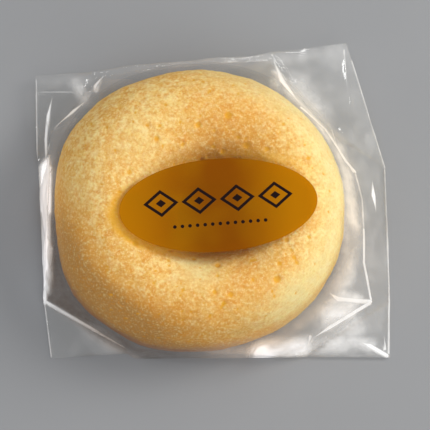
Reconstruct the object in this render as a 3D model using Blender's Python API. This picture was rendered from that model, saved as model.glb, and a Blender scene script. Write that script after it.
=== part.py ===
import math

import bmesh
import bpy
from mathutils import Vector

MM = 0.001

# Doughnut inside the bag, in mm: its centre, its outline as radius by angle, and its ring section.
DOUGHNUT_CENTRE = Vector((-3.3, -4.55))
OUTLINE_DEGREES_AND_RADII = [
    (0, 38.0), (20, 38.5), (41, 39.1), (90, 39.0), (112, 39.5), (128, 40.5), (146, 41.3),
    (160, 40.2), (178, 38.1), (195, 38.7), (210, 41.0), (226, 39.4), (246, 39.0), (262, 37.4),
    (285, 36.7), (308, 37.5), (335, 38.2),
]
HOLE_OFFSET = Vector((3.2, -1.7))
HOLE_RADIUS = 10.0
HOLE_BASE_RADIUS = 11.0
HOLE_FLOOR_HEIGHT = 1.0
WIDEST_HEIGHT = 9.0
HOLE_NECK_HEIGHT = 11.0
CROWN_HEIGHT = 27.2
BASE_INSET = 1.2

# Film, in mm: how far it stands off the doughnut, and how thick its folded edges are.
FILM_CLEARANCE = 0.4
EDGE_THICKNESS = 0.6
FLAP_LIFT = 0.15

# How finely the curved film is divided.
OUTLINE_STEPS = 72
CROWN_STEPS = 12
HOLE_STEPS = 10

# Front creases of the bag, an octagon round the doughnut, in mm.
SEAM_LEFT = Vector((-20.3, -41.3, 0.9))
SEAM_RIGHT = Vector((25.2, -41.3, 0.9))
LOW_RIGHT_SHOULDER = Vector((25.9, -38.6, 2.5))
EDGE_LOW_RIGHT = Vector((41.4, -28.2, 9.0))
EDGE_RIGHT_LOWER = Vector((39.3, -18.1, 13.5))
EDGE_RIGHT = Vector((38.7, -9.8, 15.0))
EDGE_TOP_RIGHT = Vector((37.4, 6.2, 12.5))
SEAL_RIGHT = Vector((16.2, 37.5, 6.5))
SEAL_LEFT = Vector((-30.3, 32.3, 5.0))
EDGE_TOP_LEFT = Vector((-43.0, 16.3, 8.0))
EDGE_LEFT_UPPER = Vector((-43.2, 8.3, 12.5))
EDGE_LEFT = Vector((-43.1, -2.8, 15.0))
EDGE_LEFT_LOWER = Vector((-43.6, -15.3, 10.0))
EDGE_LOW_LEFT = Vector((-44.0, -27.9, 0.9))

# Back edges of the bag, where the side panels meet the panel it lies on, in mm.
BACK_LEFT_LOW = Vector((-44.3, -27.9, EDGE_THICKNESS))
BACK_LEFT = Vector((-46.3, 2.3, EDGE_THICKNESS))
BACK_LEFT_HIGH = Vector((-47.7, 21.3, 1.8))
BACK_RIGHT_HIGH = Vector((47.1, 9.4, EDGE_THICKNESS))
BACK_RIGHT = Vector((47.5, -9.2, EDGE_THICKNESS))
BACK_RIGHT_LOW = Vector((47.7, -26.8, EDGE_THICKNESS))

# Corner flaps, in mm.
CORNER_LOW_LEFT = Vector((-42.3, -42.65, EDGE_THICKNESS))
CORNER_LOW_RIGHT = Vector((47.4, -42.1, EDGE_THICKNESS))
RIDGE_LOW_RIGHT = Vector((39.3, -38.3, 3.0))
CORNER_TOP_LEFT = Vector((-47.6, 33.1, 3.3))
FOLD_TOP_LEFT = Vector((-42.4, 29.0, 3.8))
RIDGE_TOP_LEFT = Vector((-44.2, 20.8, 6.3))
CORNER_TOP_RIGHT = Vector((36.2, 42.65, 6.3))
FOLD_TOP_RIGHT = Vector((37.6, 38.8, 5.3))

# Cut edge of the heat seal along the top, from left to right, and the band's width, in mm.
SEAL_EDGE = [
    CORNER_TOP_LEFT,
    Vector((-32.8, 33.9, 5.3)),
    Vector((-21.8, 35.3, 7.3)),
    Vector((-11.4, 35.8, 8.8)),
    Vector((0.9, 37.3, 8.8)),
    Vector((9.9, 37.9, 8.3)),
    Vector((15.8, 39.2, 7.8)),
    CORNER_TOP_RIGHT,
]
SEAL_WIDTH = 4.5

# Oval sticker on the front of the bag, in mm.
LABEL_CENTRE = Vector((0.2, -6.25))
LABEL_LENGTH = 50.0
LABEL_WIDTH = 24.0
LABEL_TILT_DEGREES = 5.0
LABEL_GAP = 0.3
LABEL_THICKNESS = 0.4
LABEL_SEGMENTS = 64

FILM_COLOUR = (0.86, 0.84, 0.78, 1.0)
LABEL_COLOUR = (0.45, 0.17, 0.01, 1.0)


def outline_radius(angle):
    """Radius of the doughnut's outline at an angle, eased between the measured ones."""
    degrees = math.degrees(angle) % 360.0
    stops = OUTLINE_DEGREES_AND_RADII + [(360, OUTLINE_DEGREES_AND_RADII[0][1])]
    for (start, first), (end, second) in zip(stops, stops[1:]):
        if start <= degrees <= end:
            share = (degrees - start) / (end - start)
            eased = share * share * (3.0 - 2.0 * share)
            return first + (second - first) * eased
    return stops[0][1]


def doughnut_film_points():
    """Points on the film that is stretched over the doughnut."""
    points = []
    for step in range(OUTLINE_STEPS):
        angle = 2.0 * math.pi * step / OUTLINE_STEPS
        direction = Vector((math.cos(angle), math.sin(angle)))
        outer = DOUGHNUT_CENTRE + direction * (outline_radius(angle) + FILM_CLEARANCE)
        hole = DOUGHNUT_CENTRE + HOLE_OFFSET + direction * HOLE_RADIUS
        crown = (outer + hole) * 0.5
        base = outer - direction * BASE_INSET
        points.append(Vector((base.x, base.y, 0.0)))
        for level in range(CROWN_STEPS + 1):
            lift = 0.5 * math.pi * level / CROWN_STEPS
            plan = crown + (outer - crown) * math.cos(lift)
            height = WIDEST_HEIGHT + (CROWN_HEIGHT + FILM_CLEARANCE - WIDEST_HEIGHT) * math.sin(lift)
            points.append(Vector((plan.x, plan.y, height)))
    return points


def with_lower_copies(points, drop=EDGE_THICKNESS):
    """The points, and each again a film edge's thickness below it."""
    return points + [Vector((point.x, point.y, point.z - drop)) for point in points]


def mesh_from_bmesh(shape, name):
    """A mesh in metres from a shape in millimetres, its faces outwards."""
    bmesh.ops.recalc_face_normals(shape, faces=shape.faces[:])
    bmesh.ops.scale(shape, vec=(MM, MM, MM), verts=shape.verts[:])
    mesh = bpy.data.meshes.new(name)
    shape.to_mesh(mesh)
    shape.free()
    return mesh


def add_body(name, shape):
    """An object from a shape in millimetres."""
    body = bpy.data.objects.new(name, mesh_from_bmesh(shape, name))
    bpy.context.collection.objects.link(body)
    return body


def hull_shape(points):
    """The tight skin round some points, as a closed shape."""
    shape = bmesh.new()
    for point in points:
        shape.verts.new(point)
    result = bmesh.ops.convex_hull(shape, input=shape.verts[:])
    unused = [item for item in result["geom_interior"] if isinstance(item, bmesh.types.BMVert)]
    bmesh.ops.delete(shape, geom=unused, context="VERTS")
    return shape


def sink_hole(shape):
    """Sink the doughnut's hole into the flat top of the shape, from the crown's ring down."""
    top = CROWN_HEIGHT + FILM_CLEARANCE
    covering = [face for face in shape.faces if all(abs(v.co.z - top) < 1e-4 for v in face.verts)]
    bmesh.ops.delete(shape, geom=covering, context="FACES")
    middle = DOUGHNUT_CENTRE + HOLE_OFFSET * 0.5
    hole = DOUGHNUT_CENTRE + HOLE_OFFSET
    rim = [vertex for vertex in shape.verts if any(edge.is_boundary for edge in vertex.link_edges)]
    rim.sort(key=lambda vertex: math.atan2(vertex.co.y - middle.y, vertex.co.x - middle.x))
    levels = [rim]
    for step in range(1, HOLE_STEPS + 1):
        fall = 0.5 * math.pi * step / HOLE_STEPS
        height = HOLE_NECK_HEIGHT + (top - HOLE_NECK_HEIGHT) * math.cos(fall)
        ring = []
        for vertex in rim:
            crown = vertex.co.xy
            neck = hole + (crown - middle).normalized() * HOLE_RADIUS
            plan = crown.lerp(neck, math.sin(fall))
            ring.append(shape.verts.new((plan.x, plan.y, height)))
        levels.append(ring)
    floor_ring = []
    for vertex in rim:
        plan = hole + (vertex.co.xy - middle).normalized() * HOLE_BASE_RADIUS
        floor_ring.append(shape.verts.new((plan.x, plan.y, HOLE_FLOOR_HEIGHT)))
    levels.append(floor_ring)
    for upper, lower in zip(levels, levels[1:]):
        for here in range(len(rim)):
            following = (here + 1) % len(rim)
            shape.faces.new((upper[here], upper[following], lower[following], lower[here]))
    shape.faces.new(floor_ring)


def hull_object(name, points):
    """The tight skin round some points, as a closed body."""
    return add_body(name, hull_shape(points))


def strip_object(name, outer_edge, width, thickness):
    """A thin flat band along an edge, as a closed body."""
    shape = bmesh.new()
    sections = []
    for point in outer_edge:
        inner = point + Vector((0.0, -width, 0.0))
        corners = [point, inner, inner - Vector((0, 0, thickness)), point - Vector((0, 0, thickness))]
        sections.append([shape.verts.new(corner) for corner in corners])
    for near, far in zip(sections, sections[1:]):
        for side in range(4):
            following = (side + 1) % 4
            shape.faces.new((near[side], near[following], far[following], far[side]))
    shape.faces.new(sections[0])
    shape.faces.new(sections[-1])
    return add_body(name, shape)


def join_bodies(target, others):
    """Fuse closed bodies into the target, which keeps its name."""
    for other in others:
        fuse = target.modifiers.new("fuse", "BOOLEAN")
        fuse.operation = "UNION"
        fuse.solver = "EXACT"
        fuse.object = other
    evaluated = target.evaluated_get(bpy.context.evaluated_depsgraph_get())
    joined = bpy.data.meshes.new_from_object(evaluated)
    target.modifiers.clear()
    target.data = joined
    for other in others:
        bpy.data.objects.remove(other)
    shape = bmesh.new()
    shape.from_mesh(joined)
    bmesh.ops.remove_doubles(shape, verts=shape.verts[:], dist=0.01 * MM)
    bmesh.ops.triangulate(shape, faces=shape.faces[:])
    shape.to_mesh(joined)
    shape.free()


def set_material(body, name, colour, roughness, alpha=1.0):
    """Give a body its one material."""
    material = bpy.data.materials.new(name)
    material.use_nodes = True
    surface = material.node_tree.nodes["Principled BSDF"]
    surface.inputs["Base Color"].default_value = colour
    surface.inputs["Roughness"].default_value = roughness
    surface.inputs["Alpha"].default_value = alpha
    body.data.materials.clear()
    body.data.materials.append(material)


for existing in list(bpy.data.objects):
    bpy.data.objects.remove(existing)

# Film over the doughnut, with the side panels that run down to the back edges.
front_creases = [
    SEAM_LEFT, SEAM_RIGHT, LOW_RIGHT_SHOULDER, EDGE_LOW_RIGHT, EDGE_RIGHT_LOWER, EDGE_RIGHT,
    EDGE_TOP_RIGHT, SEAL_RIGHT, SEAL_LEFT, EDGE_TOP_LEFT, EDGE_LEFT_UPPER, EDGE_LEFT,
    EDGE_LEFT_LOWER, EDGE_LOW_LEFT,
]
back_edges = [BACK_LEFT_LOW, BACK_LEFT, BACK_RIGHT_HIGH, BACK_RIGHT, BACK_RIGHT_LOW]
seam_line = [
    Vector((SEAM_LEFT.x, CORNER_LOW_LEFT.y, EDGE_THICKNESS)),
    Vector((SEAM_RIGHT.x, CORNER_LOW_RIGHT.y, EDGE_THICKNESS)),
]
bag_shape = hull_shape(
    doughnut_film_points() + front_creases + with_lower_copies(back_edges + seam_line)
)
sink_hole(bag_shape)
bag = add_body("bag", bag_shape)

# Flat corner flap at the lower left. Its inner points lie inside the main body.
flap_low_left = hull_object("flap_low_left", with_lower_copies([
    Vector((point.x, point.y, EDGE_THICKNESS + FLAP_LIFT))
    for point in (CORNER_LOW_LEFT, BACK_LEFT_LOW, SEAM_LEFT, Vector((-38, -24, 0)), Vector((-18, -36, 0)))
]))

# Corner at the lower right, still held open by the side panel's crease.
flap_low_right = hull_object("flap_low_right", [
    EDGE_LOW_RIGHT - Vector((0.4, 0.0, 0.4)), RIDGE_LOW_RIGHT, LOW_RIGHT_SHOULDER - Vector((0, 0, 0.4)),
    Vector((22.0, -36.0, 1.0)), Vector((30.0, -20.0, 1.0)),
] + with_lower_copies([
    CORNER_LOW_RIGHT + Vector((0, 0, FLAP_LIFT)),
    Vector((SEAM_RIGHT.x, -41.9, EDGE_THICKNESS + FLAP_LIFT)),
    BACK_RIGHT_LOW + Vector((-0.1, 0, FLAP_LIFT)),
]))

# Upper corners, open inside until the heat seal closes them.
flap_top_left = hull_object("flap_top_left", [
    EDGE_TOP_LEFT - Vector((0, 1.0, 0.5)), RIDGE_TOP_LEFT, FOLD_TOP_LEFT,
    Vector((-32.0, 17.0, 0.4)), Vector((-26.0, 24.0, 0.8)), Vector((-26.0, 22.0, 5.0)),
] + with_lower_copies([
    CORNER_TOP_LEFT, SEAL_EDGE[1], BACK_LEFT_HIGH, BACK_LEFT + Vector((0.1, 0, FLAP_LIFT)),
]))
flap_top_right = hull_object("flap_top_right", [
    EDGE_TOP_RIGHT - Vector((0.3, 0.3, 0.4)), Vector((16.2, 37.5, 6.4)), FOLD_TOP_RIGHT,
    Vector((27.0, 12.0, 0.4)), Vector((14.0, 27.0, 0.9)), Vector((20.0, 15.0, 6.0)),
] + with_lower_copies([
    CORNER_TOP_RIGHT, SEAL_EDGE[-2], BACK_RIGHT_HIGH + Vector((-0.1, 0, FLAP_LIFT)),
]))

# Heat seal along the top.
seal = strip_object("seal", SEAL_EDGE, SEAL_WIDTH, EDGE_THICKNESS)

join_bodies(bag, [flap_low_left, flap_low_right, flap_top_left, flap_top_right, seal])
set_material(bag, "film", FILM_COLOUR, roughness=0.12, alpha=0.4)

# Oval sticker, a thin plate just above the film that spans the doughnut's hole.
label_bottom = CROWN_HEIGHT + FILM_CLEARANCE + LABEL_GAP
tilt = math.radians(LABEL_TILT_DEGREES)
label_shape = bmesh.new()
lower_ring = []
upper_ring = []
for step in range(LABEL_SEGMENTS):
    angle = 2.0 * math.pi * step / LABEL_SEGMENTS
    along = 0.5 * LABEL_LENGTH * math.cos(angle)
    across = 0.5 * LABEL_WIDTH * math.sin(angle)
    x = LABEL_CENTRE.x + along * math.cos(tilt) - across * math.sin(tilt)
    y = LABEL_CENTRE.y + along * math.sin(tilt) + across * math.cos(tilt)
    lower_ring.append(label_shape.verts.new((x, y, label_bottom)))
    upper_ring.append(label_shape.verts.new((x, y, label_bottom + LABEL_THICKNESS)))
label_shape.faces.new(lower_ring)
label_shape.faces.new(upper_ring)
for step in range(LABEL_SEGMENTS):
    following = (step + 1) % LABEL_SEGMENTS
    label_shape.faces.new((lower_ring[step], lower_ring[following], upper_ring[following], upper_ring[step]))
label = add_body("label", label_shape)
set_material(label, "label", LABEL_COLOUR, roughness=0.25)
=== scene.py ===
import math
import random

import bpy
import numpy as np
from mathutils import Matrix, Vector, noise


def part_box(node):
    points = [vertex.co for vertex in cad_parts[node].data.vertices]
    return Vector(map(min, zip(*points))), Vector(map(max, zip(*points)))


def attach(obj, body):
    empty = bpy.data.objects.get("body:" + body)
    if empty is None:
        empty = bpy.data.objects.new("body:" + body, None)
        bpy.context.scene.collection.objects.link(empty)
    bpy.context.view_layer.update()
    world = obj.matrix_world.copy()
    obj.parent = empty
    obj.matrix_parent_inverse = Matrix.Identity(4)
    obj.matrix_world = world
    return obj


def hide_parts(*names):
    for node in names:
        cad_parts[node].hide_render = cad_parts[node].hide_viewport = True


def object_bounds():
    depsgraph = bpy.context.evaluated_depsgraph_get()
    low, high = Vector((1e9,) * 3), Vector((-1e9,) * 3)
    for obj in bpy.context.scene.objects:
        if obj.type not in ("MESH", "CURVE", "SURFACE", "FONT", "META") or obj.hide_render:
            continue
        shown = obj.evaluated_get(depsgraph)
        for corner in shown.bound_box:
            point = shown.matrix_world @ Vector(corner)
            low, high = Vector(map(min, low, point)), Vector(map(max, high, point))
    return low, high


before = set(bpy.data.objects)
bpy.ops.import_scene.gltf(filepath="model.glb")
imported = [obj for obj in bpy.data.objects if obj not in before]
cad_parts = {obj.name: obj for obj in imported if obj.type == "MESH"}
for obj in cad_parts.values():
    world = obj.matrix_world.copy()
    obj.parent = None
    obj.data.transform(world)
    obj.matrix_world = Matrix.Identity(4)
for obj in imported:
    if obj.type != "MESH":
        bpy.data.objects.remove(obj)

cad_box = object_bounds()
MM = 0.001


# Ring doughnut, baked in a mould: a pale yellow crumb with fine pores and a browned, flat base.
# It is a ring bent to the uneven outline of the real one, roughened with crumb grain,
# with the larger pores pressed in. It stands just clear of the film all round.
RING_CENTRE = np.array((-3.3, -4.55))
HOLE_CENTRE = np.array((-0.1, -5.8))
HOLE_RADIUS = 9.4
OUTLINE_DEGREES = [0, 20, 34, 60, 90, 112, 128, 146, 160, 178, 195, 210, 226, 246, 262, 285, 308, 335]
OUTLINE_RADII = [38.2, 38.2, 38.0, 38.0, 37.9, 38.4, 39.6, 40.6, 40.2, 38.1, 38.2, 40.1, 38.9, 38.4, 36.8,
                 36.1, 37.0, 38.1]
WIDEST_HEIGHT = 5.5
HOLE_NECK_RISE = 5.5
CROWN_HEIGHT = 26.9
BASE_HEIGHT = 0.45
BASE_SQUARENESS = 0.42
BASE_INSET = 1.2
RING_RADIUS = 24.0
RING_THICKNESS = 13.0
RING_STEPS = 480
SECTION_STEPS = 176
EASING_REACH = 20
EASING_SPREAD = 7.0
# Crumb relief: how high, how long and how shifted each wave is, and how far out it may stand.
CRUMB_WAVES = [(0.26, 9.0, (0, 0, 0)), (0.16, 3.2, (7, 3, 1)), (0.13, 1.15, (2, 9, 4))]
CRUMB_LIMIT = 0.3
# Larger pores: x, y and radius.
LARGE_PORES = [
    (14.9, -25.0, 1.25), (19.3, -19.0, 0.8), (15.4, -21.0, 0.8), (8.6, -19.9, 0.7), (3.5, -28.9, 0.9),
    (-0.6, -28.0, 0.8), (1.6, -31.1, 0.8), (-1.9, -34.0, 0.8), (14.2, -29.1, 0.7), (0.4, -21.1, 1.0),
    (-15.1, 10.8, 0.9), (-3.7, 6.4, 0.9), (-21.9, 2.3, 0.9), (-20.2, -16.1, 1.0), (17.4, -14.8, 0.8),
    (-5.0, 14.6, 1.0), (2.8, 17.2, 1.2), (17.1, 15.2, 0.8), (7.7, 9.5, 1.1), (23.2, 6.3, 0.8),
    (12.5, 8.5, 0.8), (1.6, 8.4, 0.9),
]
SMALL_PORES = 260
PORE_LIP = 0.06
# Bearings from the ring's middle, in degrees, of what differs from side to side.
BAKED_BEARING = 224
UPPER_BEARING = 130
LOW_RIM_BEARING = 298
PALE_BEARING = 10
BROWNED_BEARING = 238
# Places browner or paler than the rest: x, y, how far each reaches and how strong it is.
TOASTED_ZONES = [
    (2.5, -27.0, 9.0, 0.36), (13.0, -25.5, 8.0, 0.30), (-12.0, -26.0, 7.0, 0.24), (-1.5, 17.0, 8.0, 0.42),
    (9.5, 17.5, 8.0, 0.34), (10.5, 10.5, 5.0, 0.16),
]
PALE_ZONES = [
    (-4.5, -21.5, 6.0, 0.9), (-20.0, 8.5, 8.0, 0.38), (-36.0, -2.0, 7.0, 0.22), (20.0, -30.0, 7.0, 0.35),
]

bpy.ops.object.select_all(action="DESELECT")
bpy.ops.mesh.primitive_torus_add(
    major_segments=RING_STEPS, minor_segments=SECTION_STEPS,
    major_radius=RING_RADIUS * MM, minor_radius=RING_THICKNESS * MM,
)
doughnut = bpy.context.object
doughnut.name = "doughnut"


def vertex_values(piece, kind):
    """Three numbers for each vertex of a piece: its place in metres, or its normal."""
    values = np.zeros(len(piece.data.vertices) * 3)
    piece.data.vertices.foreach_get(kind, values)
    return values.reshape(-1, 3)


def move_vertices(piece, places):
    """Put the vertices of a piece at these places, in mm."""
    piece.data.vertices.foreach_set("co", (places * MM).ravel())
    piece.data.update()


ring = vertex_values(doughnut, "co") / MM
turn = np.arctan2(ring[:, 1], ring[:, 0])
section = np.arctan2(ring[:, 2], np.hypot(ring[:, 0], ring[:, 1]) - RING_RADIUS)

# The outline's radius at each degree, eased between the measured ones.
degree_radii = np.interp(np.arange(360), OUTLINE_DEGREES, OUTLINE_RADII, period=360)
easing = np.exp(-0.5 * (np.arange(-EASING_REACH, EASING_REACH + 1) / EASING_SPREAD) ** 2)
easing /= easing.sum()
wrapped_radii = np.concatenate([degree_radii[-EASING_REACH:], degree_radii, degree_radii[:EASING_REACH]])
degree_radii = np.convolve(wrapped_radii, easing, "valid")
outer_radius = np.interp(np.degrees(turn), np.arange(360), degree_radii, period=360)
heading = np.stack([np.cos(turn), np.sin(turn)], axis=1)
outer_rim = RING_CENTRE + heading * outer_radius[:, None]
hole_rim = HOLE_CENTRE + heading * HOLE_RADIUS
crown_line = (outer_rim + hole_rim) / 2
below = np.sin(section) < 0
reach = np.cos(section)
reach = np.where(below, np.sign(reach) * np.abs(reach) ** BASE_SQUARENESS, reach)
depth = np.where(below, np.abs(np.sin(section)) ** BASE_SQUARENESS, np.sin(section))
neck = WIDEST_HEIGHT + HOLE_NECK_RISE * (1 - np.cos(section)) / 2
plan = crown_line + (outer_rim - crown_line) * reach[:, None]
plan -= heading * (BASE_INSET * np.where(below & (reach > 0), depth ** 2, 0))[:, None]
height = np.where(below, neck + (BASE_HEIGHT - neck) * depth, neck + (CROWN_HEIGHT - neck) * depth)
shape = np.column_stack([plan, height])
move_vertices(doughnut, shape)


def ease(values, start, end):
    """0 at start, 1 at end, eased between."""
    share = np.clip((values - start) / (end - start), 0, 1)
    return share * share * (3 - 2 * share)


def toward(bearings, degrees):
    """1 for a bearing of these degrees, falling to 0 a quarter turn away."""
    return np.clip(np.cos(bearings - math.radians(degrees)), 0, 1)


def zone_strength(zones):
    """How strong all these zones are together at each place of the ring."""
    return sum(
        strength * np.exp(-(np.hypot(plan[:, 0] - x, plan[:, 1] - y) / zone_reach) ** 2)
        for x, y, zone_reach, strength in zones
    )


def store(piece, **amounts):
    """Keep an amount for each vertex under a name, for the material to read."""
    for name, values in amounts.items():
        piece.data.attributes.new(name, "FLOAT", "POINT").data.foreach_set("value", values)


# How baked each place is, with painted shade: painted shade on the lower left flank, which faces
# from the light; darker round the hole, most on its upper slope, which faces from the light
# (painted shade there); some on the upper left flank; real browning along the lower rim; with a brown base.
bearing = np.arctan2(plan[:, 1] - RING_CENTRE[1], plan[:, 0] - RING_CENTRE[0])
rim_radius = np.interp(np.degrees(bearing), np.arange(360), degree_radii, period=360)
inset = np.where(below & (reach > 0), 0, rim_radius - np.linalg.norm(plan - RING_CENTRE, axis=1))
# Painted shade: the flank turned from the light is darkened.
baked_side = toward(bearing, BAKED_BEARING) ** 2.5 * ease(inset, 15, 2) * 1.2
from_hole = plan - HOLE_CENTRE
hole_distance = np.linalg.norm(from_hole, axis=1)
hole_bearing = np.arctan2(from_hole[:, 1], from_hole[:, 0])
hole_side = ease(hole_distance, 23, 12) * (0.35 + 0.2 * np.sin(hole_bearing))
upper_side = toward(bearing, UPPER_BEARING) * ease(inset, 7, 0)
low_rim = toward(bearing, LOW_RIM_BEARING) * ease(inset, 2.2, 0.2)
toasted_zones = zone_strength(TOASTED_ZONES)
pale_zones = zone_strength(PALE_ZONES)
baked = baked_side + hole_side + 0.25 * upper_side + 0.45 * low_rim + toasted_zones - 0.3 * pale_zones
baked = np.clip(baked, 0, 1)
# Painted light: the side facing the lamp is painted paler and lemon, with fainter grain; the paler zones join
# it.
pale_side = np.minimum(1.3 * toward(bearing, PALE_BEARING), 1) * ease(inset, 14, 3) * (1 - 0.6 * low_rim)
pale_side += pale_zones
# A browned base, and painted shade as a dark brown band along the lower left rim, which faces from the light.
base_side = 0.05 + 0.95 * toward(bearing, BROWNED_BEARING) ** 1.8
browned = ease(height, 14, 6) * ease(inset, 6, 3) * base_side

# Where the sticker lies. Beside its edge the crumb is painted with the amber light that comes through it.
STICKER_CENTRE = np.array((0.3, -6.4))
STICKER_TILT = math.radians(5.0)
STICKER_LENGTH = 49.9
STICKER_WIDTH = 23.7
AMBER_LEFT_BEARING = 205
AMBER_TOP_BEARING = 76


def on_sticker(spots):
    """Places along and across the sticker from its middle, each 1 at its edge."""
    from_middle = spots - STICKER_CENTRE
    lengthwise = from_middle @ (math.cos(STICKER_TILT), math.sin(STICKER_TILT)) / (STICKER_LENGTH / 2)
    crosswise = from_middle @ (-math.sin(STICKER_TILT), math.cos(STICKER_TILT)) / (STICKER_WIDTH / 2)
    return lengthwise, crosswise


lengthwise, crosswise = on_sticker(plan)
past_sticker = (np.hypot(lengthwise, crosswise) - 1) * STICKER_WIDTH / 2
round_sticker = np.arctan2(crosswise, lengthwise)
amber_left = ease(past_sticker, 2.6, 0.2) * (0.15 + 0.85 * toward(round_sticker, AMBER_LEFT_BEARING) ** 1.5)
amber_above = ease(past_sticker, 6.0, 0.5) * 0.6 * toward(round_sticker, AMBER_TOP_BEARING) ** 2
amber_lit = np.maximum(amber_left, amber_above)

# Crumb relief, in mm along the surface's normal.
normals = vertex_values(doughnut, "normal")
relief = np.zeros(len(shape))
for number, point in enumerate(shape):
    spot = Vector(point)
    relief[number] = sum(
        rise * noise.noise(spot / length + Vector(shift)) for rise, length, shift in CRUMB_WAVES
    )
relief *= np.clip(0.35 + height / 8.0, 0.35, 1.0)
baking = random.Random(7)
upper = np.flatnonzero((height > 6.0) & (hole_distance > 9.0))
pores = []
for x, y, radius in LARGE_PORES:
    nearest = upper[np.argmin(np.linalg.norm(plan[upper] - (x, y), axis=1))]
    pores.append((shape[nearest], radius, 0.5 * radius))
for _ in range(SMALL_PORES):
    radius = baking.uniform(0.45, 0.75)
    pores.append((shape[baking.choice(upper)], radius, radius * baking.uniform(0.4, 0.7)))
# Pores are the crumb's amber, with painted shade darker in the deeper pits.
pitted = np.zeros(len(shape))
for spot, radius, sink in pores:
    away = np.linalg.norm(shape - spot, axis=1) / radius
    relief -= sink * np.clip(1 - away, 0, 1) ** 0.7
    relief += PORE_LIP * np.exp(-((away - 1.25) / 0.3) ** 2)
    pitted = np.maximum(pitted, ease(away, 1.3, 0.3) * min(1, sink / 0.35))
relief = np.minimum(relief, CRUMB_LIMIT)
shape += normals * relief[:, None]
shape[:, 2] = np.maximum(shape[:, 2], BASE_HEIGHT - 0.1)
move_vertices(doughnut, shape)
store(doughnut, baked=baked, pale_side=pale_side, browned=browned, pitted=pitted, amber_lit=amber_lit)
bpy.ops.object.shade_smooth()


class Value:
    """A shader socket that Python can use in sums, and that can start any other node."""

    def __init__(self, tree, socket):
        self.tree = tree
        self.socket = socket

    def node(self, kind, settings=(), inputs=(), output=0):
        """Add a node: its settings first, then the values or links of its sockets."""
        made = self.tree.nodes.new(kind)
        for name, setting in dict(settings).items():
            setattr(made, name, setting)
        for name, value in dict(inputs).items():
            if isinstance(value, Value):
                self.tree.links.new(value.socket, made.inputs[name])
            elif isinstance(value, tuple) and len(value) == 3 and made.inputs[name].type == "RGBA":
                made.inputs[name].default_value = (*value, 1.0)
            else:
                made.inputs[name].default_value = value
        return Value(self.tree, made.outputs[output])

    def sum(self, operation, *others, clamp=False):
        """A Math node on this value and up to two others."""
        settings = {"operation": operation, "use_clamp": clamp}
        return self.node("ShaderNodeMath", settings, dict(enumerate((self, *others))))

    def __add__(self, other):
        return self.sum("ADD", other)

    def __sub__(self, other):
        return self.sum("SUBTRACT", other)

    def __mul__(self, other):
        return self.sum("MULTIPLY", other)

    def __truediv__(self, other):
        return self.sum("DIVIDE", other)

    def __pow__(self, other):
        return self.sum("POWER", other)

    def __rsub__(self, other):
        return self.node("ShaderNodeMath", {"operation": "SUBTRACT"}, {0: other, 1: self})

    def __rtruediv__(self, other):
        return self.node("ShaderNodeMath", {"operation": "DIVIDE"}, {0: other, 1: self})

    __radd__ = __add__
    __rmul__ = __mul__

    def fade(self, start, end):
        """0 at start, 1 at end, eased between."""
        return self.node(
            "ShaderNodeMapRange", {"interpolation_type": "SMOOTHSTEP"},
            {"Value": self, "From Min": start, "From Max": end, "To Min": 0.0, "To Max": 1.0},
        )

    def speckle(self, size, detail=2.0, roughness=0.5, shift=0.0):
        """Soft noise on this place, with spots about this size across, in the place's own unit."""
        moved = self.node("ShaderNodeVectorMath", {"operation": "ADD"}, {0: self, 1: (shift, shift, shift)})
        return self.node(
            "ShaderNodeTexNoise", {},
            {"Vector": moved, "Scale": 1.0 / size, "Detail": detail, "Roughness": roughness},
        )

    def stored(self, name):
        """The amount that the mesh keeps under this name."""
        return self.node("ShaderNodeAttribute", {"attribute_name": name}, output="Fac")

    def mix(self, first, second):
        """Colours blended from first to second by this share."""
        return self.node("ShaderNodeMix", {"data_type": "RGBA"}, {0: self, 6: first, 7: second}, output=2)


def new_material(name):
    """A material, its output node, and the place on the piece as a Value."""
    material = bpy.data.materials.new(name)
    material.use_nodes = True
    tree = material.node_tree
    tree.nodes.clear()
    finish = tree.nodes.new("ShaderNodeOutputMaterial")
    place = tree.nodes.new("ShaderNodeTexCoord")
    return material, finish, Value(tree, place.outputs["Object"])


CRUMB_YELLOW = (0.86, 0.56, 0.17)
CRUMB_GOLD = (0.80, 0.465, 0.11)
CRUMB_PALE = (0.93, 0.77, 0.37)
CRUMB_LEMON = (0.83, 0.775, 0.40)
CRUMB_TOASTED = (0.70, 0.30, 0.035)
CRUMB_TAN = (0.40, 0.19, 0.045)
CRUST_BROWN = (0.34, 0.13, 0.045)
PORE_AMBER = (0.76, 0.37, 0.015)
LIT_AMBER = (0.85, 0.42, 0.01)

crumb, crumb_finish, place = new_material("baked_crumb")
baked = place.stored("baked")
pale_side = place.stored("pale_side")
browned = place.stored("browned")
pitted = place.stored("pitted")
amber_lit = place.stored("amber_lit")
drift = place.speckle(10 * MM, 2.0)
mottle = place.speckle(2.6 * MM, 3.0, shift=0.3)
blotch = place.speckle(1.7 * MM, 2.0, 0.5, shift=0.5)
grain = place.speckle(0.75 * MM, 4.0, 0.7, shift=0.7)
dust = place.speckle(0.4 * MM, 2.0, 0.6, shift=0.9)
colour = drift.fade(0.38, 0.62).mix(CRUMB_GOLD, CRUMB_YELLOW)
colour = (mottle.fade(0.45, 0.66) * 0.5).mix(colour, CRUMB_PALE)
colour = (mottle.fade(0.50, 0.34) * 0.35 * (1 - pale_side * 0.8)).mix(colour, CRUMB_TOASTED)
colour = (blotch.fade(0.51, 0.36) * 0.6 * (1 - pale_side * 0.8)).mix(colour, CRUMB_TOASTED)
# Painted light: paler lemon on the side facing the lamp.
colour = (pale_side * 0.55).mix(colour, CRUMB_LEMON)
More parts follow.
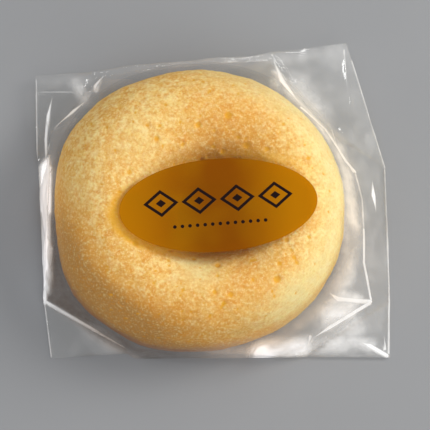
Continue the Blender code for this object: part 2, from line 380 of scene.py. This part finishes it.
# Toasted, then tan, where baking and painted shade are stored.
colour = ((baked + (mottle - 0.5) * 0.5).fade(0.05, 0.75) * 0.75).mix(colour, CRUMB_TOASTED)
colour = ((baked + (mottle - 0.5) * 0.3).fade(0.5, 1.0) * 0.75).mix(colour, CRUMB_TAN)
paleness = (1 - baked * 0.45) * (1 - pale_side * 0.45)
colour = (grain.fade(0.50, 0.33) * 0.65 * (1 - pale_side * 0.55)).mix(colour, CRUMB_TOASTED)
colour = (grain.fade(0.50, 0.66) * 0.7 * paleness).mix(colour, CRUMB_PALE)
colour = (dust.fade(0.55, 0.75) * 0.5 * paleness).mix(colour, CRUMB_PALE)
# Amber pores, with painted shade in the deeper pits.
colour = ((pitted + (grain - 0.5) * 0.4).fade(0.25, 0.8) * 0.8).mix(colour, PORE_AMBER)
# Browned base, and painted shade along the lower left rim.
colour = ((browned + (mottle - 0.5) * 0.4).fade(0.1, 0.9) * 0.75).mix(colour, CRUST_BROWN)
# Painted amber light beside the sticker's edge.
colour = ((amber_lit + (mottle - 0.5) * 0.5).fade(0.1, 0.8) * 0.8).mix(colour, LIT_AMBER)
bump_height = grain * 0.6 + dust * 0.4
bump = place.node("ShaderNodeBump", {}, {"Height": bump_height, "Strength": 0.5, "Distance": 0.35 * MM})
skin = place.node(
    "ShaderNodeBsdfPrincipled", {},
    {"Base Color": colour, "Roughness": 0.78 + grain * 0.12, "Specular IOR Level": 0.3, "Normal": bump,
     "Subsurface Weight": 0.3, "Subsurface Radius": (1.0, 0.55, 0.2), "Subsurface Scale": 1.2 * MM},
)
place.tree.links.new(skin.socket, crumb_finish.inputs["Surface"])
doughnut.data.materials.append(crumb)
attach(doughnut, "root")


# Side-gusset bag of clear film, pulled tight over the doughnut, creased where its panels meet.
# It is a copy of the imported bag, cut into small faces, with its free panels rippled.
# The film is shaded as one thin clear skin, whitened along its folds, with painted highlights, reflections
# and shadow on it.
FILM_CELL = 1.1
HOLE_COVER_RADIUS = 24.6
RIPPLE = 0.3
CALM_BEARING = 50
LIT_BEARING = 350
SHADED_BEARING = 222
WARM_BEARING = 290
STICKER_REST = 0.25
MERGE_GAP = 0.004
SHARP_EDGE = math.radians(40)

bpy.ops.object.select_all(action="DESELECT")
packed_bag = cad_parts["bag"]
packed_bag.select_set(True)
bpy.context.view_layer.objects.active = packed_bag
bpy.ops.object.duplicate()
film = bpy.context.object
film.name = "film_bag"
bpy.ops.object.mode_set(mode="EDIT")
bpy.ops.mesh.select_all(action="SELECT")
bpy.ops.mesh.remove_doubles(threshold=MERGE_GAP * MM)
bpy.ops.mesh.select_all(action="DESELECT")
bpy.ops.object.mode_set(mode="OBJECT")

# The film spans the doughnut's hole, so the hole's wall goes and a flat top closes over it.
crown_middle = (RING_CENTRE + HOLE_CENTRE) / 2
film_top = max(vertex.co.z for vertex in film.data.vertices)
for vertex in film.data.vertices:
    spot = np.array(vertex.co) / MM
    from_middle = np.linalg.norm(spot[:2] - crown_middle)
    vertex.select = from_middle < HOLE_COVER_RADIUS and 0.5 < spot[2] < film_top / MM - 0.05
bpy.ops.object.mode_set(mode="EDIT")
bpy.ops.mesh.delete(type="VERT")
bpy.ops.mesh.select_mode(type="VERT")
bpy.ops.mesh.select_non_manifold(extend=False)
bpy.ops.mesh.edge_face_add()
low, high = (np.array(corner) / MM for corner in cad_box)
for axis in range(3):
    for cut in np.arange(low[axis] + FILM_CELL / 2, high[axis], FILM_CELL):
        centre = [0.0, 0.0, 0.0]
        centre[axis] = cut * MM
        facing = [0.0, 0.0, 0.0]
        facing[axis] = 1.0
        bpy.ops.mesh.select_all(action="SELECT")
        bpy.ops.mesh.bisect(plane_co=centre, plane_no=facing)
bpy.ops.mesh.select_all(action="SELECT")
bpy.ops.mesh.quads_convert_to_tris()
bpy.ops.object.mode_set(mode="OBJECT")

# Folds that catch the light: points along each one, half its width, how white it is as crease whitening
# and painted highlight (above 1 it also glows as a painted window reflection), its ridge,
# and whether it thins out at its start and at its end.
FOLDS = [
    ([(-42.9, 27.0, 5.0), (-43.9, 21.5, 5.5), (-44.5, 15.2, 6.5), (-44.3, 9.7, 8.0)], 0.6, 1.1, 0.25, (1, 0)),
    ([(-44.3, -13.3, 7.0), (-44.3, -19.8, 4.0), (-44.2, -24.8, 2.0), (-44.2, -28.0, 1.0)],
     0.9, 1.2, 0.25, (1, 0)),
    ([(-47.5, 31.9, 3.3), (-46.9, 9.7, 1.0)], 0.25, 0.4, 0.1, (0, 0)),
    ([(-44.3, -27.6, 0.9), (-42.2, -42.4, 0.8)], 0.25, 0.35, 0.1, (0, 0)),
    ([(-42.0, 17.8, 7.6), (-36.9, 21.7, 9.8), (-33.4, 23.6, 13.6)], 1.1, 1.2, 0.3, (1, 1)),
    ([(-29.2, 32.8, 5.6), (-31.4, 29.4, 8.6), (-31.6, 25.9, 12.4)], 1.1, 1.2, 0.3, (1, 1)),
    ([(-46.9, 28.2, 3.7), (-38.3, 28.0, 5.7), (-30.1, 26.6, 13.0)], 0.3, 0.25, 0.1, (0, 0)),
    ([(-44.0, -27.9, 0.9), (-32.0, -34.7, 0.9), (-20.3, -41.3, 0.9)], 0.6, 1.1, 0.25, (0, 1)),
    ([(-37.5, -26.8, 14.0), (-30.5, -27.5, 20.0), (-24.9, -28.1, 24.6)], 0.45, 0.12, 0.1, (0, 1)),
    ([(28.5, -26.9, 18.1), (31.6, -28.4, 15.0), (41.0, -28.3, 8.8)], 0.8, 1.2, 0.25, (1, 0)),
    ([(41.0, -28.5, 8.8), (30.6, -34.8, 7.6), (25.9, -37.8, 6.6)], 0.7, 1.2, 0.25, (0, 1)),
    ([(25.3, -37.4, 7.7), (24.6, -41.9, 1.4)], 0.6, 0.8, 0.2, (0, 1)),
    ([(36.8, 5.3, 14.2), (38.7, -2.0, 14.0), (38.8, -10.0, 14.0)], 0.4, 0.4, 0.2, (0, 0)),
    ([(38.8, -10.0, 14.0), (38.8, -18.5, 13.8), (41.2, -27.6, 9.3)], 0.45, 0.8, 0.2, (0, 0)),
    ([(37.8, 37.8, 5.4), (47.0, 9.4, 0.7)], 0.25, 0.4, 0.1, (0, 0)),
    ([(47.0, 9.4, 0.7), (47.6, -22.7, 0.6), (47.0, -41.0, 1.2)], 0.3, 0.6, 0.1, (0, 0)),
    ([(42.4, 4.4, 8.3), (42.5, 0.2, 8.0), (43.2, -4.2, 7.6)], 0.9, 1.3, 0.3, (1, 1)),
    ([(38.8, -38.2, 3.0), (41.8, -39.2, 2.4), (46.5, -41.7, 1.0)], 0.7, 1.2, 0.25, (1, 0)),
    ([(45.5, -36.4, 3.1), (45.9, -40.0, 2.0)], 0.4, 1.0, 0.2, (1, 0)),
    ([(16.1, 38.6, 7.4), (17.8, 29.2, 16.0), (22.6, 19.8, 21.6)], 1.5, 1.3, 0.25, (1, 1)),
    ([(21.9, 20.4, 21.9), (28.5, 15.7, 18.5), (34.1, 7.4, 16.8), (36.8, 5.3, 14.2)], 0.6, 0.85, 0.2, (0, 0)),
    ([(29.9, 21.0, 12.0), (31.6, 10.8, 18.1), (36.2, 5.1, 15.0)], 0.4, 0.6, 0.15, (1, 0)),
    ([(35.5, 40.5, 6.7), (36.2, 24.0, 8.5)], 0.3, 0.5, 0.1, (0, 1)),
]
# Painted sheens between the folds, soft highlights and reflections: points along the middle, how far each
# reaches and how white it is.
SHEENS = [
    ([(-44.7, 8.2, 7.0), (-44.5, 2.8, 9.0), (-44.4, -3.5, 9.0)], 2.3, 4.0),
    ([(-44.4, -3.5, 9.0), (-44.2, -13.3, 8.0)], 2.1, 2.3),
    ([(-44.0, -13.3, 8.0), (-44.3, -25.0, 2.0)], 2.2, 2.7),
    ([(-37.0, 31.0, 5.0), (-34.5, 27.0, 8.0)], 2.4, 0.3),
    ([(16.8, 32.0, 13.0), (19.5, 24.5, 19.0), (26.5, 17.0, 20.0), (31.5, 10.8, 18.0)], 2.8, 0.66),
    ([(22.5, 29.5, 9.0), (27.0, 21.0, 12.0)], 6.5, 0.36),
    ([(31.7, 10.7, 16.0), (34.5, 3.0, 15.0), (35.6, -9.0, 14.0)], 3.2, 0.95),
    ([(35.6, -9.0, 14.0), (35.5, -18.4, 13.0), (34.0, -25.5, 11.0)], 3.2, 0.32),
    ([(33.5, -27.5, 12.0), (37.5, -28.3, 10.0)], 2.6, 1.0),
    ([(30.5, -30.5, 9.0), (35.7, -30.0, 9.0)], 3.6, 1.4),
    ([(29.0, -33.0, 8.0), (38.0, -34.5, 5.0)], 4.5, 0.32),
    ([(0.0, -40.6, 1.5), (12.0, -41.0, 2.0)], 3.0, 0.3),
    ([(12.0, -41.0, 2.0), (19.3, -40.1, 2.0), (23.8, -39.4, 4.0)], 3.4, 2.1),
    ([(23.8, -39.4, 4.0), (34.0, -38.5, 3.0)], 4.0, 0.4),
    ([(36.5, -37.5, 3.0), (42.0, -39.0, 2.5)], 2.6, 0.38),
    ([(-46.5, 31.0, 3.8), (-33.0, 31.6, 5.3)], 2.6, 0.07),
    ([(1.0, 35.0, 8.8), (17.0, 37.4, 7.5), (35.5, 40.2, 6.3)], 2.6, 0.1),
]
# Height counts this much in how far film is from a fold, because the trails follow the plan.
FOLD_FLATNESS = 0.1
# How much narrower a fold is where it thins out.
THINNED = 0.8
# The lower left corner's fold: a point on it, and the way in from it.
CORNER_FOLD = (-44.0, -27.9)
CORNER_INWARD = (0.493, 0.870)


def fold_gap(points, trail):
    """How far each point is from a fold's trail, in mm."""
    nearest = np.full(len(points), 1e9)
    for start, end in zip(trail, trail[1:]):
        start = np.array(start)
        run = np.array(end) - start
        share = np.clip((points - start) @ run / (run @ run), 0, 1)
        nearest = np.minimum(nearest, np.linalg.norm(points - start - share[:, None] * run, axis=1))
    return nearest


panel = vertex_values(film, "co") / MM
outward = vertex_values(film, "normal")
bearing = np.arctan2(panel[:, 1] - RING_CENTRE[1], panel[:, 0] - RING_CENTRE[0])
far_out = np.hypot(panel[:, 0] - RING_CENTRE[0], panel[:, 1] - RING_CENTRE[1])
rim_here = np.interp(np.degrees(bearing), np.arange(360), degree_radii, period=360)
slack = np.clip((far_out - rim_here + 0.9) / 2.6, 0, 1)
freedom = np.clip((far_out - rim_here + 3.0) / 8.0, 0, 1) * np.clip(panel[:, 2] / 1.5, 0, 1)
shift = np.zeros(len(panel))
for number, point in enumerate(panel):
    spot = Vector(point)
    radial = Vector((bearing[number] * 9.0, far_out[number] / 9.0, 0.0))
    wave = noise.noise(radial) * 0.7 + noise.noise(spot / 4.0) * 0.5 + noise.noise(spot / 12.0)
    calm = 0.7 * math.exp(-((bearing[number] - math.radians(CALM_BEARING)) / 0.35) ** 2)
    shift[number] = RIPPLE * wave * freedom[number] * (1 - calm)
off_floor = np.clip(panel[:, 2] / 1.5, 0, 1)
for trail, width, _, ridge, _ in FOLDS:
    shift += ridge * np.exp(-((fold_gap(panel, trail) / (1.4 * width)) ** 2)) * off_floor
panel += outward * shift[:, None]
under_sticker = np.clip(1.25 - np.hypot(*on_sticker(panel[:, :2])), 0, 0.25) / 0.25
on_top = panel[:, 2] > film_top / MM - 1.5
panel[:, 2] += np.where(on_top, under_sticker * (film_top / MM + STICKER_REST - panel[:, 2]), 0)
panel = np.clip(panel, low, high)
move_vertices(film, panel)
bpy.ops.object.shade_smooth_by_angle(angle=SHARP_EDGE)

# How milky and shiny the film looks at each place, with painted light: hazier on the side facing the lamp,
# a painted warm reflection of the crumb near it, and painted shadow as dark haze near the crumb on the lower
# left.
near_crumb = ease(far_out - rim_here, 6.0, 1.5)
lit_side = 0.5 + 0.5 * np.cos(bearing - math.radians(LIT_BEARING))
shaded_side = toward(bearing, SHADED_BEARING) ** 3
# Painted light: the film is milkier on the side facing the lamp.
milkiness = slack * (0.01 + 0.14 * lit_side)
# Painted shadow: near the crumb on the lower left the film is hazed dark brown.
tucked_in = (panel[:, :2] - CORNER_FOLD) @ CORNER_INWARD
near_shade = near_crumb * (0.35 + 0.65 * ease(tucked_in, -0.8, 0.4))
shade = np.minimum(1.15 * shaded_side * np.maximum(near_shade, 0.8 * ease(tucked_in, 0.0, 1.2)), 1)
# Painted reflection: the film near the crumb takes on its warm colour, most at the bottom.
warmth = near_crumb * (0.45 + 0.5 * toward(bearing, WARM_BEARING))
# Haze near the crumb, coloured by the painted reflection and the painted shadow.
crumb_haze = slack * (0.09 * near_crumb + 0.32 * shade)
steep = ease(1 - np.abs(outward[:, 2]), 0.15, 0.45)
streaking = np.zeros(len(panel))
for number in range(len(panel)):
    streaking[number] = noise.noise(
        Vector((math.cos(bearing[number]) * 3.4, math.sin(bearing[number]) * 3.4, far_out[number] / 1.7))
    )
sheen = np.zeros(len(panel))
flatter = np.array((1.0, 1.0, FOLD_FLATNESS))
for trail, width, strength in SHEENS:
    sheen = np.maximum(sheen, ease(fold_gap(panel * flatter, np.array(trail) * flatter), width, 0) * strength)
sheen *= 1 + 0.9 * streaking
store(
    film, slack=slack, warmth=warmth, shade=shade, milkiness=milkiness,
    crumb_haze=crumb_haze, steep=steep, sheen=sheen,
)

# Film colours: the warm ones are a painted reflection of the crumb, the shaded ones a painted shadow, the dim
# and window ones a painted glow.
WHITE_FILM = (0.95, 0.95, 0.95)
WARM_FILM = (0.95, 0.78, 0.62)
SHADED_FILM = (0.10, 0.05, 0.02)
DIM_WHITE = (0.26, 0.26, 0.26)
DIM_WARM = (0.23, 0.18, 0.14)
DIM_SHADED = (0.015, 0.01, 0.005)
WINDOW_COOL = (0.94, 0.96, 1.0)
WINDOW_WARM = (1.0, 0.84, 0.74)
CLEAR_TINT = (0.99, 0.99, 0.985)

clear_film, film_finish, place = new_material("clear_film")
loose = place.stored("slack")
flattened = place.node(
    "ShaderNodeVectorMath", {"operation": "MULTIPLY"}, {0: place, 1: (1.0, 1.0, FOLD_FLATNESS)}
)
warmth = place.stored("warmth")
shade = place.stored("shade")
milkiness = place.stored("milkiness")
crumb_haze = place.stored("crumb_haze")
steep = place.stored("steep")
slant = place.node("ShaderNodeLayerWeight", {}, {"Blend": 0.5}, output="Facing")
grazing = 1 - steep * (1 - slant.sum("MULTIPLY_ADD", 2.2, -0.6, clamp=True))
creases = None
for trail, width, strength, _, (thin_start, thin_end) in FOLDS:
    for number, (start, end) in enumerate(zip(trail, trail[1:])):
        start = Vector(np.array(start) * flatter) * MM
        run = Vector(np.array(end) * flatter) * MM - start
        from_start = place.node(
            "ShaderNodeVectorMath", {"operation": "SUBTRACT"}, {0: flattened, 1: tuple(start)}
        )
        share = place.node(
            "ShaderNodeVectorMath", {"operation": "DOT_PRODUCT"}, {0: from_start, 1: tuple(run)},
            output="Value",
        )
        share = share.sum("MULTIPLY", 1.0 / run.length_squared, clamp=True)
        nearest = place.node("ShaderNodeVectorMath", {"operation": "SCALE"}, {0: tuple(run), "Scale": share})
        gap = place.node(
            "ShaderNodeVectorMath", {"operation": "DISTANCE"}, {0: from_start, 1: nearest}, output="Value"
        )
        thinning = 0.0
        if thin_start and number == 0:
            thinning = THINNED
            gap = share.sum("MULTIPLY_ADD", -thinning * width * MM, gap)
        elif thin_end and number == len(trail) - 2:
            gap = share.sum("MULTIPLY_ADD", THINNED * width * MM, gap)
        line = gap.fade(width * (1 - thinning) * MM, width * (0.3 - thinning) * MM) * strength
        creases = line if creases is None else line.sum("MAXIMUM", creases)
creases = creases * (1 - steep * 0.85 * (1 - slant.sum("MULTIPLY_ADD", 3.0, -0.3, clamp=True)))
# Painted sheens and fold highlights whiten the film.
sheen = place.stored("sheen") * grazing
whitening = sheen.sum("MAXIMUM", creases)
clouds = place.speckle(6 * MM, 3.0, 0.6)
streaks = place.speckle(4 * MM, 3.0, 0.6, shift=0.5)
wisps = place.speckle(3 * MM, 2.0, shift=1.1)
haze = (milkiness + crumb_haze * grazing) * (clouds.fade(0.4, 0.7) * 0.8 + 0.6)
haze = haze + whitening ** (wisps.fade(0.25, 0.75) * 0.4 + 0.8) * (streaks.fade(0.3, 0.6) * 0.15 + 0.8)
haze = haze.sum("MINIMUM", 0.9)
shine = (slant ** 5 * 0.85 + 0.07) * (loose * 0.7 + 0.3)
see_through = place.node("ShaderNodeBsdfTransparent", {}, {"Color": CLEAR_TINT})
clean = (1 - whitening).sum("MAXIMUM", 0.0)
shaded = shade.sum("MULTIPLY", 1.8, clamp=True) * clean
# The haze's colour: white, a painted warm reflection of the crumb, and painted shadow brown on the lower
# left.
warm_or_white = (warmth * (clean * 0.5 + 0.5)).mix(WHITE_FILM, WARM_FILM)
milk_colour = shaded.mix(warm_or_white, SHADED_FILM)
# Painted glow: hazy film glows faintly, and where whitening passes 1 it glows with a painted reflection of a
# window.
sky_glint = whitening.sum("MULTIPLY_ADD", 2.0, -2.0, clamp=True)
dim_milk = shaded.mix(warmth.mix(DIM_WHITE, DIM_WARM), DIM_SHADED)
gleam = sky_glint.mix(dim_milk, (warmth * 0.8).mix(WINDOW_COOL, WINDOW_WARM))
white = place.node(
    "ShaderNodeBsdfPrincipled", {},
    {"Base Color": milk_colour, "Roughness": 0.3, "Emission Color": gleam, "Emission Strength": 1.3},
)
glow = place.node("ShaderNodeBsdfTranslucent", {}, {"Color": WHITE_FILM})
milky = place.node("ShaderNodeMixShader", {}, {0: (1 - shaded) * 0.4, 1: white, 2: glow})
gloss = place.node(
    "ShaderNodeBsdfGlossy", {}, {"Color": (1.0, 1.0, 1.0), "Roughness": 0.5 - loose * 0.42}
)
body = place.node("ShaderNodeMixShader", {}, {0: haze, 1: see_through, 2: milky})
surface = place.node("ShaderNodeMixShader", {}, {0: shine, 1: body, 2: gloss})
place.tree.links.new(surface.socket, film_finish.inputs["Surface"])
film.data.materials.clear()
film.data.materials.append(clear_film)
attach(film, "root")
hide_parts("bag")


# Oval sticker of amber see-through film with a plain dark ornament printed on it.
# It is a square grid rounded into an oval sheet and given its thickness. It lies on the
# film across the covered hole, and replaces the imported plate.
STICKER_THICKNESS = 0.12
STICKER_WAVE = 0.06
LOZENGE_CENTRES = (-14.4, -4.8, 4.8, 14.4)
LOZENGE_ROW = 1.5
LOZENGE_HALF_SIZE = (4.5, 3.5)
SMALL_HALF_SIZE = (1.3, 1.0)
DOT_ROW = -4.7
DOT_RADIUS = 0.5
DOT_SPACING = 1.9
DOTS_REACH = 12.0
STICKER_BROWN = (0.27, 0.080, 0.0015)
STICKER_GOLD = (0.53, 0.21, 0.0015)
STICKER_OCHRE = (0.42, 0.19, 0.002)
STICKER_TINT = (0.90, 0.60, 0.05)
INK_BLACK = (0.012, 0.006, 0.006)

bpy.ops.object.select_all(action="DESELECT")
bpy.ops.mesh.primitive_grid_add(x_subdivisions=64, y_subdivisions=32, size=2.0)
sticker = bpy.context.object
sticker.name = "oval_sticker"
sheet_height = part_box("label")[0][2] / MM + STICKER_WAVE
for vertex in sticker.data.vertices:
    x, y, _ = vertex.co
    lengthwise = x * math.sqrt(1 - y * y / 2) * STICKER_LENGTH / 2
    crosswise = y * math.sqrt(1 - x * x / 2) * STICKER_WIDTH / 2
    spot = Vector((
        STICKER_CENTRE[0] + lengthwise * math.cos(STICKER_TILT) - crosswise * math.sin(STICKER_TILT),
        STICKER_CENTRE[1] + lengthwise * math.sin(STICKER_TILT) + crosswise * math.cos(STICKER_TILT),
        sheet_height,
    ))
    spot.z += STICKER_WAVE * noise.noise(spot / 7.0)
    vertex.co = spot * MM
sticker.modifiers.new("thickness", "SOLIDIFY").thickness = STICKER_THICKNESS * MM
sticker.modifiers["thickness"].offset = 1.0
bpy.ops.object.modifier_apply(modifier="thickness")
bpy.ops.object.shade_smooth_by_angle(angle=SHARP_EDGE)

amber_film, sticker_finish, place = new_material("amber_sticker")
place = place.node(
    "ShaderNodeMapping", {"vector_type": "TEXTURE"},
    {"Vector": place, "Location": (*(STICKER_CENTRE * MM), 0.0),
     "Rotation": (0.0, 0.0, STICKER_TILT), "Scale": (MM, MM, MM)},
)
across = place.node("ShaderNodeSeparateXYZ", {}, {"Vector": place}, output="X")
along = place.node("ShaderNodeSeparateXYZ", {}, {"Vector": place}, output="Y")


def lozenge(centre, row, half_length, half_width):
    """0 at the middle of a lozenge, 1 on its outline; sizes in mm."""
    spread = (across - centre).sum("ABSOLUTE") / half_length
    rise = (along - row).sum("ABSOLUTE") / half_width
    return spread + rise


ink = None
for centre in LOZENGE_CENTRES:
    outline = lozenge(centre, LOZENGE_ROW, *LOZENGE_HALF_SIZE)
    open_mark = outline.fade(1.0, 0.97) * outline.fade(0.70, 0.73)
    small_mark = lozenge(centre, LOZENGE_ROW, *SMALL_HALF_SIZE).fade(1.05, 0.95)
    ink = open_mark if ink is None else ink.sum("MAXIMUM", open_mark)
    ink = ink.sum("MAXIMUM", small_mark)
beat = across.sum("PINGPONG", DOT_SPACING / 2)
row = along - DOT_ROW
from_dot = (beat * beat + row * row).sum("SQRT")
dots = from_dot.fade(DOT_RADIUS, DOT_RADIUS - 0.1)
dots = dots * across.sum("ABSOLUTE").fade(DOTS_REACH, DOTS_REACH - 0.1)
ink = ink.sum("MAXIMUM", dots)
# Painted light and shade: dark brown in the middle as painted shade from the hole beneath, golden towards the
# ends over the lit crumb, the right end most, with soft ochre patches of painted reflection.
golden = (across.sum("ABSOLUTE") + across * 0.1).fade(3.0, 23.0)
amber_colour = golden.mix(STICKER_BROWN, STICKER_GOLD)
amber_colour = (place.speckle(14.0, 1.0).fade(0.42, 0.72) * 0.45).mix(amber_colour, STICKER_OCHRE)
amber_colour = ink.mix(amber_colour, INK_BLACK)
tint = place.node("ShaderNodeBsdfTransparent", {}, {"Color": STICKER_TINT})
plate = place.node(
    "ShaderNodeBsdfPrincipled", {},
    {"Base Color": amber_colour, "Roughness": 0.35, "Specular IOR Level": 0.06},
)
surface = place.node("ShaderNodeMixShader", {}, {0: ink.sum("MAXIMUM", 0.7), 1: tint, 2: plate})
place.tree.links.new(surface.socket, sticker_finish.inputs["Surface"])
sticker.data.materials.append(amber_film)
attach(sticker, "root")
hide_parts("label")


# Plain pale floor under the pack, soft light from the upper right, and the photograph's camera,
# which looks down on the pack as it lies.
FLOOR_SIZE = 4.0
FLOOR_DROP = 0.3
FLOOR_GREY = (0.27, 0.277, 0.29)
FLOOR_PALE = (0.29, 0.297, 0.31)
SKY_COLOUR = (0.95, 0.97, 1.0, 1.0)
SKY_STRENGTH = 0.34
CAMERA_PLACE = Vector((-20.55, -75.04, 402.38))
CAMERA_BACK = Vector((-0.05234, -0.17365, 0.98342))
CAMERA_LENS = 127.45
LIT_SPOT = Vector((0, 0, 0.01))

bpy.ops.object.select_all(action="DESELECT")
bpy.ops.mesh.primitive_plane_add(size=FLOOR_SIZE, location=(0.0, 0.0, -FLOOR_DROP * MM))
floor = bpy.context.object
floor.name = "floor"
pale, floor_finish, place = new_material("pale_floor")
paper = place.speckle(40 * MM, 2.0).mix(FLOOR_GREY, FLOOR_PALE)
matt = place.node("ShaderNodeBsdfPrincipled", {}, {"Base Color": paper, "Roughness": 0.9})
place.tree.links.new(matt.socket, floor_finish.inputs["Surface"])
floor.data.materials.append(pale)


def add_light(name, position, size, power, colour=(1.0, 1.0, 1.0), length=None, glints=True):
    """A soft lamp that faces the pack; without glints it shows in no reflection."""
    lamp = bpy.data.lights.new(name, "AREA")
    lamp.size = size
    if length:
        lamp.shape = "RECTANGLE"
        lamp.size_y = length
    lamp.energy = power
    lamp.color = colour
    holder = bpy.data.objects.new(name, lamp)
    holder.location = position
    holder.rotation_euler = (Vector(position) - LIT_SPOT).to_track_quat("Z", "Y").to_euler()
    holder.visible_glossy = glints
    bpy.context.collection.objects.link(holder)


add_light("key", (0.52, 0.19, 0.42), 0.3, 3.45, (1.0, 0.97, 0.92), glints=False)
add_light("window", (-0.55, 0.12, 0.08), 0.25, 0.9, (0.95, 0.98, 1.0), glints=False)
add_light("fill", (0.20, -0.40, 0.55), 0.6, 2.1, (1.0, 0.98, 0.95), glints=False)
add_light("glints_left", (-0.30, 0.05, 0.55), 0.04, 0.35, length=0.3)
add_light("glints_top", (0.12, 0.45, 0.60), 0.04, 0.35, length=0.3)
world = bpy.data.worlds.new("studio")
world.use_nodes = True
sky = world.node_tree.nodes["Background"]
sky.inputs["Color"].default_value = SKY_COLOUR
sky.inputs["Strength"].default_value = SKY_STRENGTH
bpy.context.scene.world = world
bpy.context.scene.view_settings.view_transform = "Standard"

camera_data = bpy.data.cameras.new("camera")
camera_data.lens = CAMERA_LENS
camera_data.sensor_width = 36.0
camera_data.clip_start = 0.01
camera = bpy.data.objects.new("camera", camera_data)
camera.location = CAMERA_PLACE * MM
right = Vector((0.0, 1.0, 0.0)).cross(CAMERA_BACK).normalized()
raised = CAMERA_BACK.cross(right)
camera.rotation_euler = Matrix((right, raised, CAMERA_BACK)).transposed().to_euler()
bpy.context.collection.objects.link(camera)
bpy.context.scene.camera = camera

bpy.context.view_layer.update()
